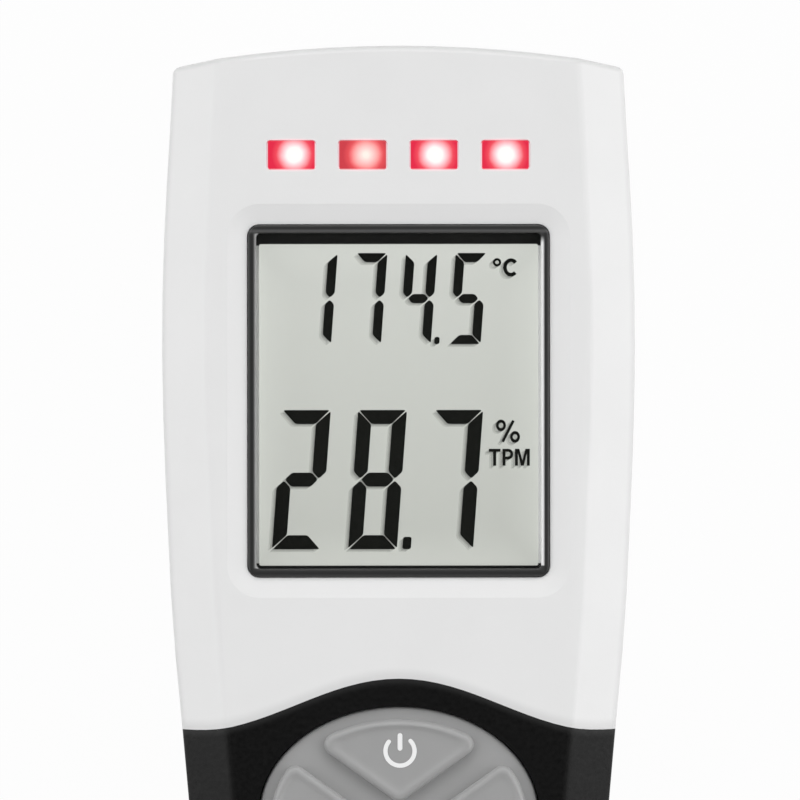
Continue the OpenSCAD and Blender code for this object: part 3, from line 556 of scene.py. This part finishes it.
def bezel_dark():
    """Dark frame with painted shade across it like a groove, a painted highlight along its top, and painted
    light on its inner edges.
    """
    f = Finish("bezel_dark", Specular_IOR_Level=0.3)
    x, s, _ = f.where()
    low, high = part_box("display_bezel")
    half = high.x / MM - BEZEL_FLANGE
    top, foot = (HEAD_Y - high.y) / MM + BEZEL_FLANGE, (HEAD_Y - low.y) / MM - BEZEL_FLANGE
    left, right, above, below = x + half, half - x, s - top, foot - s
    rim = left.least(right).least(above).least(below)
    grain = f.noise(0.3, 3)
    # Painted shade across the frame's width, darkest a little inside its outer edge
    groove_shade = [(0.0, 74), (0.22, 52), (0.42, 38), (0.7, 52), (1.0, 58)]
    stops = [(distance, grey(level)) for distance, level in groove_shade]
    tone = f.add("ShaderNodeValToRGB", {"stops": stops}, [rim])
    # A painted highlight along the frame's top
    top_highlight = (1 - (abs(above - 0.7) / 0.3).least(1.0)) * (1 - rim.step(0.95, 1.1))
    tone = f.mix(top_highlight, tone, grey(88))
    # The light on each side's inner edge grows inwards, and ends short of the top and the bottom
    for side, inwards, from_top, from_foot, level in (
        (left, (0.55, 1.2), (0.9, 1.1), (0.9, 1.1), 220),
        (right, (0.46, 0.77), (1.2, 2.2), (1.2, 1.4), 250),
    ):
        lit = side.step(*inwards) * side.step(2.0, 1.9)
        tone = f.mix(lit * above.step(*from_top) * below.step(*from_foot), tone, grey(level))
    tone = f.mix(grain * 0.12, tone, grey(20))
    f.vary(Base_Color=tone, Roughness=0.42 + 0.12 * grain)
    return f.relief(grain, 0.008).material


assign(frame["nodes"]["display_cell"], liquid_crystal())
assign(frame["nodes"]["display_mask"], masked_edge())
assign(frame["nodes"]["display_lens"], clear_lens())
smooth_copy("display_bezel", bezel_dark(), 30, 0.22, 3)

# The lit segments of each figure, lettered round from the top one, with g in the middle
LIT = {"1": "bc", "2": "abged", "4": "fgbc", "5": "afgcd", "7": "abc", "8": "abcdefg"}
# The figures' lean to the right for their height, and the gap at a segment's mitre, in mm
SLANT = 0.0735
SPLIT = 0.11


def segment_corners(part, wide, high, bar):
    """The corners of one mitred segment, from the figure's lower left corner, before its slant."""
    g, h, half = SPLIT, high / 2, bar / 2
    upright = [
        (0, high - g),
        (bar, high - bar - g * 0.3),
        (bar, h + half + g),
        (half, h + g),
        (0, h + half + g),
    ]
    level = [
        (g, high),
        (wide - g, high),
        (wide - bar - g * 0.3, high - bar),
        (bar + g * 0.3, high - bar),
    ]
    middle = [
        (half + g, h),
        (bar + g * 0.5, h + half),
        (wide - bar - g * 0.5, h + half),
        (wide - half - g, h),
        (wide - bar - g * 0.5, h - half),
        (bar + g * 0.5, h - half),
    ]
    corners = {"a": level, "d": level, "g": middle}.get(part, upright)
    if part in "bc":
        corners = [(wide - u, v) for u, v in corners]
    if part in "cde":
        corners = [(u, high - v) for u, v in corners]
    return corners


def figures(name, row, shift, z, material):
    """A row of seven-segment figures on the cell, with its decimal point."""
    text, last_x, foot_s, wide, high, bar, pitch, point = row
    bm = bmesh.new()

    def patch(corners, start_x):
        verts = []
        for u, v in corners:
            spot = under_lens(start_x + u + v * SLANT + shift[0], foot_s - v + shift[1])
            verts.append(bm.verts.new((spot.x, spot.y, z)))
        bm.faces.new(verts)

    for count, figure in enumerate(reversed(text)):
        for part in LIT[figure]:
            patch(segment_corners(part, wide, high, bar), last_x - count * pitch)
    width, tall = point
    patch([(0, 0), (width, 0), (width, tall), (0, tall)], last_x - pitch + wide + 0.62 * width)
    bmesh.ops.bevel(
        bm,
        geom=bm.verts[:],
        offset=0.22 * MM,
        offset_type="OFFSET",
        segments=2,
        profile=0.5,
        affect="VERTICES",
        material=-1,
    )
    face_up(bm)
    new_piece(name, bm, material, "housing", smooth=False)


def ring_mark(bm, x, s, outer, wide, z, tall=1.0):
    """A flat ring, stretched along the object by tall."""
    older = set(bm.verts)
    start = Vector((0, outer * MM, 0))
    centre = Vector((x * MM, place(s), z))
    inner = start * (1 - wide / outer)
    edge = bm.edges.new([bm.verts.new(centre + start), bm.verts.new(centre + inner)])
    bmesh.ops.spin(
        bm,
        geom=[edge, *edge.verts],
        cent=centre,
        axis=(0, 0, -1),
        angle=math.tau,
        steps=48,
        use_merge=True,
    )
    new = [v for v in bm.verts if v not in older]
    bmesh.ops.scale(bm, verts=new, vec=(1, tall, 1), space=Matrix.Translation(-centre))


def stroke(bm, spots, wide, z, rounded=True):
    """A flat stroke along a row of places, each (x, s), with round or square ends."""
    path = [Vector((x * MM, place(s))) for x, s in spots]
    ways = [(b - a).normalized() for a, b in zip(path, path[1:])]
    ways = [ways[0]] + [(a + b).normalized() for a, b in zip(ways, ways[1:])] + [ways[-1]]

    def around(i, turn):
        side = ways[i].copy()
        side.rotate(Matrix.Rotation(math.radians(turn), 2))
        return path[i] + side * wide * MM / 2

    last = len(path) - 1
    turns = range(75, -90, -15) if rounded else ()
    outline = [around(i, 90) for i in range(last + 1)]
    outline += [around(last, a) for a in turns]
    outline += [around(i, -90) for i in range(last, -1, -1)]
    outline += [around(0, a - 180) for a in turns]
    bm.faces.new([bm.verts.new((*p, z)) for p in outline])


def letter(bm, corners, x, s, z):
    """A flat letter from its corners; x and s are its lower left corner."""
    bm.faces.new([bm.verts.new(((x + u) * MM, place(s - v), z)) for u, v in corners])


# The unit signs in mm, with places as (x, s). A ring is its middle, outer radius, width and
# stretch; the C is its middle, its reach across and along, and its width
DEGREE = (11.25, 24.8, 0.48, 0.27, 1.0)
PERCENT = [(11.68, 43.41, 0.57, 0.31, 1.16), (13.28, 44.72, 0.57, 0.31, 1.16)]
PERCENT_BAR, PERCENT_BAR_WIDE = [(11.87, 45.28), (13.1, 42.86)], 0.32
C_MIDDLE, C_ACROSS, C_ALONG, C_WIDE = (12.84, 25.38), 0.69, 0.83, 0.42
# The letters: the line they stand on, their height, their strokes' width and their left edges
LINE_S, LETTER_HIGH, LETTER_BAR = 48.01, 1.93, 0.34
T_X, P_X, M_X = 10.29, 11.85, 13.27
T_WIDE, T_STEM = 1.34, (0.49, 0.84)
# The P's stem, where its bowl starts to turn, the middle of the turn, and its two radii
P_STEM, P_TURN, P_MIDDLE, P_ACROSS, P_ALONG = 0.35, 0.6, 0.63, 0.43, 0.44
# The M: its width, the lowest point of its notch, its inner corners' height, and the distances
# of its slanting strokes' foot and shoulder from its edges
M_WIDE, M_DIP, M_RISE, M_FOOT, M_SHOULDER = 1.7, 0.62, 1.4, 0.69, 0.5


def unit_signs(name, shift, z, material):
    """The degree sign and its C, the percent sign, and the three letters under it."""
    bm = bmesh.new()
    dx, ds = shift

    def ring(x, s, outer, wide, tall):
        ring_mark(bm, x + dx, s + ds, outer, wide, z, tall)

    def line(spots, wide):
        stroke(bm, [(x + dx, s + ds) for x, s in spots], wide, z, rounded=False)

    def flat(corners, x):
        letter(bm, corners, x + dx, LINE_S + ds, z)

    ring(*DEGREE)
    x, s = C_MIDDLE
    turns = [math.radians(a) for a in range(40, 326, 11)]
    line([(x + C_ACROSS * math.cos(a), s - C_ALONG * math.sin(a)) for a in turns], C_WIDE)
    for mark in PERCENT:
        ring(*mark)
    line(PERCENT_BAR, PERCENT_BAR_WIDE)

    high, arm, (near, far) = LETTER_HIGH, LETTER_HIGH - LETTER_BAR, T_STEM
    stem = [(0, arm), (near, arm), (near, 0), (far, 0), (far, arm)]
    flat(stem + [(T_WIDE, arm), (T_WIDE, high), (0, high)], T_X)

    flat([(0, 0), (P_STEM, 0), (P_STEM, high), (0, high)], P_X)
    top = LINE_S - high + LETTER_BAR / 2
    bowl = [(P_X + P_STEM, top), (P_X + P_TURN, top)]
    for a in range(75, -90, -15):
        c, d = math.cos(math.radians(a)), math.sin(math.radians(a))
        bowl.append((P_X + P_MIDDLE + P_ACROSS * c, top + P_ALONG - P_ALONG * d))
    bowl += [(P_X + P_TURN, top + 2 * P_ALONG), (P_X + P_STEM, top + 2 * P_ALONG)]
    line(bowl, LETTER_BAR)

    # The M's left foot and shoulder, and the same on its right from the other side
    foot = [(0, 0), (LETTER_BAR, 0), (LETTER_BAR, M_RISE), (M_FOOT, 0)]
    shoulder = [(M_SHOULDER, high), (0, high)]
    right = [(M_WIDE - u, v) for u, v in foot[::-1] + shoulder[::-1]]
    flat(foot + right + [(M_WIDE / 2, M_DIP)] + shoulder, M_X)

    # They lie deeper than the front, so they are drawn larger about the display's middle
    middle = Vector((MIDDLE.x * MM, place(MIDDLE.y), z))
    larger = (UNDER_LENS, UNDER_LENS, 1)
    bmesh.ops.scale(bm, verts=bm.verts, vec=larger, space=Matrix.Translation(-middle))
    face_up(bm)
    new_piece(name, bm, material, "housing", smooth=False)


INK = plain("figure_ink", tint(22, 23, 20), 0.6, 0.3, 0.001, 0.08, Specular_IOR_Level=0.08)
# Painted shadow of the figures: pale grey sheets under the ink, shifted down and to the left
SHADE = plain("figure_shade", tint(120, 122, 116), 0.6, 0.3, 0.001, Alpha=0.16)
# The rows in mm: [figures, left edge of the last one, foot, width, height, segments' width,
# pitch, decimal point's width and height]
UPPER_ROW = ("1745", 5.77, 34.13, 3.6, 10.4, 1.05, 5.69, (0.6, 0.83))
LOWER_ROW = ("287", 2.91, 57.52, 5.57, 15.88, 1.6, 8.69, (0.98, 1.4))
# The ink lies over its painted shadow, three shifted pale copies: [ending of the name, shift, height above
# the cell, finish]
LAYERS = [("", (0, 0), 0.02, INK)] + [
    (f"_shade_{i}", (-0.15 * i, 0.11 * i), 0.018 - 0.003 * i, SHADE) for i in (1, 2, 3)
]
for tail, shift, lift, material in LAYERS:
    z = GLASS_Z + lift * MM
    figures("reading_upper" + tail, UPPER_ROW, shift, z, material)
    figures("reading_lower" + tail, LOWER_ROW, shift, z, material)
    unit_signs("unit_signs" + tail, shift, z, material)


# The signal lamps

# The light spreads from its hot middle: [distance in mm, colour]
BRIGHT_GLOW = [
    (0.0, tint(255, 255, 252)), (0.82, tint(255, 253, 250)), (1.0, tint(255, 238, 239)),
    (1.2, tint(255, 214, 219)), (1.43, tint(255, 188, 194)), (1.7, tint(252, 148, 157)),
    (2.05, tint(242, 78, 94)), (2.6, tint(228, 46, 74)),
]
DULL_GLOW = [
    (0.0, tint(255, 244, 236)), (0.35, tint(255, 240, 231)), (0.6, tint(253, 224, 218)),
    (0.9, tint(251, 204, 201)), (1.4, tint(253, 164, 162)), (1.7, tint(247, 122, 126)),
    (2.0, tint(230, 84, 90)), (2.6, tint(206, 66, 76)),
]


def lamp_glow(name, window_x, offset, stops):
    """A red window with a white-hot spot behind it."""
    f = Finish(name, Roughness=0.3, Specular_IOR_Level=0.2, Emission_Strength=1.0)
    x, s, _ = f.where()
    across, along = x - window_x - offset, s - LAMP_S
    far = (across * across + along * along) ** 0.5 + (f.noise(1.2, 2) - 0.5) * 0.25
    span = stops[-1][0]
    stops = [(distance / span, colour) for distance, colour in stops]
    light = f.add("ShaderNodeValToRGB", {"stops": stops}, [far / span])
    # A pale edge where the window meets the white
    inside = (LAMP_HALF[0] - abs(x - window_x)).least(LAMP_HALF[1] + 0.09 - abs(along))
    light = f.mix(inside.step(0.14, 0.0), light, (0.8, 0.58, 0.62))
    f.vary(Emission_Color=light, Base_Color=f.mix(0.03, (0, 0, 0), light))
    return f.material


# How far each lamp's hot spot lies to the right of its window's middle, in mm, and its glow
LAMPS = [(0.32, BRIGHT_GLOW), (0.37, DULL_GLOW), (0.13, BRIGHT_GLOW), (0.06, BRIGHT_GLOW)]
for count, (offset, stops) in enumerate(LAMPS, 1):
    node = f"lamp_window_{count}"
    low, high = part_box(node)
    glow = lamp_glow(f"lamp_glow_{count}", (low.x + high.x) / 2 / MM, offset, stops)
    smooth_copy(node, glow, 30, 0.06)


# The keypad

PAD_LOW, PAD_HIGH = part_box("keypad_mat")
FIELD_Z = PAD_HIGH.z
PAD_Y = (PAD_LOW.y + PAD_HIGH.y) / 2


def silicone():
    """Grey silicone with a silky sheen and a fine grain."""
    f = Finish("grey_silicone", Specular_IOR_Level=0.5, Sheen_Weight=0.1, Sheen_Roughness=0.4)
    cloud = f.noise(4, 3)
    grain = f.noise(0.25, 2)
    f.vary(Base_Color=f.mix(cloud, grey(158), grey(164)), Roughness=0.36 + 0.12 * grain)
    return f.relief(grain, 0.006).material


SILICONE = silicone()


def terraced(bm, face, rings):
    """Rings around a flat face, each (offset outwards in mm, height in m), then the face itself."""
    layer = bm.verts.layers.int.new("ring")
    outward = sorted(r for r in rings if r[0] > 0)
    inward = sorted((r for r in rings if r[0] < 0), reverse=True)
    heights = [next((h for o, h in rings if o == 0), face.verts[0].co.z)]
    last = 0.0
    for offset, height in outward:
        bmesh.ops.inset_region(
            bm,
            faces=bm.faces[:],
            thickness=(offset - last) * MM,
            use_boundary=True,
            use_even_offset=True,
            use_outset=True,
        )
        heights.append(height)
        for e in bm.edges:
            if e.is_boundary:
                for v in e.verts:
                    v[layer] = len(heights) - 1
        last = offset
    last = 0.0
    for offset, height in inward:
        bmesh.ops.inset_region(
            bm,
            faces=[face],
            thickness=(last - offset) * MM,
            use_boundary=True,
            use_even_offset=True,
        )
        heights.append(height)
        for v in face.verts:
            v[layer] = len(heights) - 1
        last = offset
    for v in bm.verts:
        v.co.z = heights[v[layer]]


def close_below(bm, foot_z):
    """A wall from the open rim down to foot_z, and a flat base."""
    rim = [e for e in bm.edges if e.is_boundary]
    wall = bmesh.ops.extrude_edge_only(bm, edges=rim)["geom"]
    for v in wall:
        if isinstance(v, bmesh.types.BMVert):
            v.co.z = foot_z
    bmesh.ops.contextual_create(bm, geom=[e for e in bm.edges if e.is_boundary])
    bmesh.ops.recalc_face_normals(bm, faces=bm.faces)


def key_face(node):
    """The flat top of a key's own node as one face."""
    bm = bmesh.new()
    bm.from_mesh(frame["nodes"][node].data)
    bmesh.ops.remove_doubles(bm, verts=bm.verts, dist=JOIN)
    top = max(v.co.z for v in bm.verts)
    rest = [f for f in bm.faces if min(v.co.z for v in f.verts) < top - 1e-6]
    bmesh.ops.delete(bm, geom=rest, context="FACES")
    bmesh.ops.dissolve_faces(bm, faces=bm.faces[:])
    bmesh.ops.remove_doubles(bm, verts=bm.verts, dist=0.1 * MM)
    bm.faces.ensure_lookup_table()
    return bm, bm.faces[0]


# A key's soft edge: [distance outwards from its outline, height above the mat], in mm
KEY_RINGS = [
    (0.85, -0.02), (0.7, 0.0), (0.54, 0.05), (0.41, 0.16), (0.3, 0.34), (0.18, 0.55), (0.02, 0.76),
    (-0.2, 0.94), (-0.45, 1.06),
]
# The top is a shallow dish inside a soft ridge: [share of the top's size, height above the mat]
KEY_DISH = [
    (0.965, 1.1), (0.935, 1.09), (0.9, 1.03), (0.86, 0.95), (0.81, 0.89), (0.74, 0.865),
    (0.55, 0.86),
]
# The mat's rounded edge: [distance inwards from its outline, depth below its top], in mm
MAT_EDGE = [(0, 0.45), (0.04, 0.24), (0.13, 0.09), (0.27, 0.02), (0.45, 0)]
# How deep a key's skin reaches below the mat's top, in mm
KEY_DEPTH = 0.3


def key_skins():
    """The soft tops of the keys, which stretch from the mat when a key is pressed."""
    for node in ("power_key", "left_key", "right_key", "lower_key"):
        bm, face = key_face(node)
        terraced(bm, face, [(o, FIELD_Z + h * MM) for o, h in KEY_RINGS])
        middle = face.calc_center_median()
        last = 1.0
        for size, height in KEY_DISH:
            bmesh.ops.inset_region(bm, faces=[face], thickness=1e-6, use_boundary=True)
            share = size / last
            bmesh.ops.scale(
                bm, verts=face.verts, vec=(share, share, 1), space=Matrix.Translation(-middle)
            )
            for v in face.verts:
                v.co.z = FIELD_Z + height * MM
            last = size
        close_below(bm, FIELD_Z - KEY_DEPTH * MM)
        skin = new_piece(node + "_skin", bm, SILICONE, None)
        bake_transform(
            skin, "housing", node, start=(0, PAD_Y, FIELD_Z), end=(0, PAD_Y, FIELD_Z + 0.8 * MM)
        )
        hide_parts(node)


def mat():
    """The oval field around the keys, with a rounded edge."""
    bm = bmesh.new()
    bmesh.ops.create_circle(bm, cap_ends=True, segments=128, radius=1.0)
    wide, long = (PAD_HIGH.x - PAD_LOW.x) / 2 - MM, (PAD_HIGH.y - PAD_LOW.y) / 2 - MM
    bmesh.ops.scale(bm, verts=bm.verts, vec=(wide, long, 1))
    bmesh.ops.translate(bm, verts=bm.verts, vec=(0, PAD_Y, FIELD_Z))
    bm.faces.ensure_lookup_table()
    face = bm.faces[0]
    if face.normal.z < 0:
        face.normal_flip()
    terraced(bm, face, [(-inwards, FIELD_Z - depth * MM) for inwards, depth in MAT_EDGE])
    close_below(bm, PAD_LOW.z)
    piece = new_piece("keypad_mat_skin", bm, SILICONE, "housing")
    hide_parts("keypad_mat")


key_skins()
mat()

SYMBOL = plain("symbol_print", grey(247), 0.5, 0.3, 0.001, 0.02)
SYMBOL_Z = FIELD_Z + 0.9 * MM
# The signs in mm. Power: the arc's middle, radius and width, the bar's two ends and width
ON_X, ON_S, ON_R, ON_WIDE = 0.12, 80.52, 1.66, 0.5
ON_BAR, ON_BAR_WIDE = (78.75, 80.2), 0.56
# Chevrons: their place, half their height, how far they reach in and out, and their width
CHEVRON_X, CHEVRON_S, CHEVRON_HALF, CHEVRON_WIDE = 9.8, 87.9, 1.5, 0.42
CHEVRON_IN, CHEVRON_OUT = 0.6, 0.9
# Light: the ring's place and radius, the rays' two ends, and the width of all its lines
SUN_S, SUN_R, RAY_FROM, RAY_TO, RAYS, SUN_WIDE = 95.0, 1.1, 1.5, 2.0, 8, 0.36


def symbols():
    """The four keys' printed signs."""
    bm = bmesh.new()
    turns = [math.radians(a) for a in range(46, 315, 8)]
    arc = [(ON_X + ON_R * math.sin(a), ON_S - ON_R * math.cos(a)) for a in turns]
    stroke(bm, arc, ON_WIDE, SYMBOL_Z)
    stroke(bm, [(ON_X, s) for s in ON_BAR], ON_BAR_WIDE, SYMBOL_Z)
    marks = {"power_key": bm}
    for node, sign in (("left_key", -1), ("right_key", 1)):
        bm = marks[node] = bmesh.new()
        near, far = sign * (CHEVRON_X - CHEVRON_IN), sign * (CHEVRON_X + CHEVRON_OUT)
        top, foot = CHEVRON_S - CHEVRON_HALF, CHEVRON_S + CHEVRON_HALF
        stroke(bm, [(near, top), (far, CHEVRON_S), (near, foot)], CHEVRON_WIDE, SYMBOL_Z)
    bm = marks["lower_key"] = bmesh.new()
    ring_mark(bm, 0.0, SUN_S, SUN_R, SUN_WIDE, SYMBOL_Z)
    for i in range(RAYS):
        c, d = math.cos(i * math.tau / RAYS), math.sin(i * math.tau / RAYS)
        ray = [(reach * c, SUN_S + reach * d) for reach in (RAY_FROM, RAY_TO)]
        stroke(bm, ray, SUN_WIDE, SYMBOL_Z)
    for node, bm in marks.items():
        face_up(bm)
        new_piece(node + "_symbol", bm, SYMBOL, node, smooth=False)


symbols()


# Camera, light and surroundings

# The sky's brightness by how far a direction points up: [its place from 0 to 1, brightness]
SKY = [(0.0, 0.4), (0.3, 0.62), (0.5, 1.0), (0.66, 0.6), (0.82, 0.03)]
# Its strength in the middle, and how much that grows towards the head end
SKY_STRENGTH, SKY_LEAN = 1.34, 0.5
# The camera looks straight down: its place over the front, its lens, and its turn in radians
EYE_X, EYE_Y, EYE_TURN = 0.16, 134.0, -0.001
LENS, SENSOR, VIEW_WIDE = 170, 36, 91.3
# Each lamp: [name, place, width, height, power]; all of them point at the head
LAMP_AIM = Vector((0, 0.1, 0.02))
STUDIO_LAMPS = [
    ("light_left", (-0.8, 0.1, 0.35), 0.5, 1.6, 3.6),
    ("light_right", (0.8, 0.1, 0.35), 0.5, 1.6, 4.9),
    ("light_head", (0.0, 1.15, 0.5), 1.0, 0.35, 2.6),
]
# The floor's half size and its depth below the object, in metres, and its paleness as it is seen
FLOOR_HALF, FLOOR_DROP, FLOOR_GLOW = 4.0, 0.0002, 0.97


def sky():
    """Bright all round and dark straight above, so that level black surfaces stay black."""
    world = bpy.data.worlds.new("studio")
    world.use_nodes = True
    tree = world.node_tree
    spot = tree.nodes.new("ShaderNodeTexCoord")
    split = tree.nodes.new("ShaderNodeSeparateXYZ")
    ramp = tree.nodes.new("ShaderNodeValToRGB")
    stops = ramp.color_ramp.elements
    for i, (level, share) in enumerate(SKY):
        stop = stops[i] if i < 2 else stops.new(level)
        stop.position, stop.color = level, (share, share, share, 1)
    strength = tree.nodes.new("ShaderNodeMath")
    strength.operation = "MULTIPLY_ADD"
    strength.inputs[1].default_value = SKY_LEAN
    strength.inputs[2].default_value = SKY_STRENGTH
    background = tree.nodes["Background"]
    tree.links.new(spot.outputs["Generated"], split.inputs[0])
    tree.links.new(split.outputs[2], ramp.inputs[0])
    tree.links.new(ramp.outputs[0], background.inputs[0])
    tree.links.new(split.outputs[1], strength.inputs[0])
    tree.links.new(strength.outputs[0], background.inputs[1])
    bpy.context.scene.world = world


def camera():
    """The photograph's view: VIEW_WIDE across at the level of the front."""
    lens = bpy.data.cameras.new("camera")
    lens.lens, lens.sensor_width = LENS, SENSOR
    lens.clip_start, lens.clip_end = 0.01, 20
    eye = place_object("camera", lens)
    far = VIEW_WIDE * MM * lens.lens / SENSOR
    eye.location = (EYE_X * MM, EYE_Y * MM, FRONT_Z * MM + far)
    eye.rotation_euler = (0, 0, EYE_TURN)
    bpy.context.scene.camera = eye


def lamps():
    """Weak soft lamps at the sides and the head."""
    for name, spot, width, height, power in STUDIO_LAMPS:
        light = bpy.data.lights.new(name, "AREA")
        light.shape, light.size, light.size_y = "RECTANGLE", width, height
        light.energy = power
        holder = place_object(name, light)
        holder.location = spot
        toward = LAMP_AIM - Vector(spot)
        holder.rotation_euler = toward.to_track_quat("-Z", "Y").to_euler()


def floor():
    """A plain pale floor that shows as white and keeps the object's shadow."""
    bm = bmesh.new()
    bmesh.ops.create_grid(bm, x_segments=1, y_segments=1, size=FLOOR_HALF)
    mesh = bpy.data.meshes.new("floor")
    bm.to_mesh(mesh)
    bm.free()
    ground = place_object("floor", mesh)
    ground.location.z = -FLOOR_DROP
    f = Finish("floor", Base_Color=(0.55, 0.55, 0.55), Roughness=0.9)
    rays = ("Is Camera Ray", "Is Glossy Ray", "Is Transmission Ray")
    straight, glossy, through = (f.add("ShaderNodeLightPath", out=ray) for ray in rays)
    glow = f.add("ShaderNodeEmission", None, {"Color": (1, 1, 1), "Strength": 1.0})
    seen = straight.most(glossy).most(through)
    both = f.add("ShaderNodeMixShader", None, [seen * FLOOR_GLOW])
    mixer = both.socket.node
    f.tree.links.new(f.shader.outputs[0], mixer.inputs[1])
    f.tree.links.new(glow.socket, mixer.inputs[2])
    f.tree.links.new(both.socket, f.output.inputs[0])
    assign(ground, f.material)


bpy.context.scene.view_settings.view_transform = "Standard"
sky()
camera()
lamps()
floor()
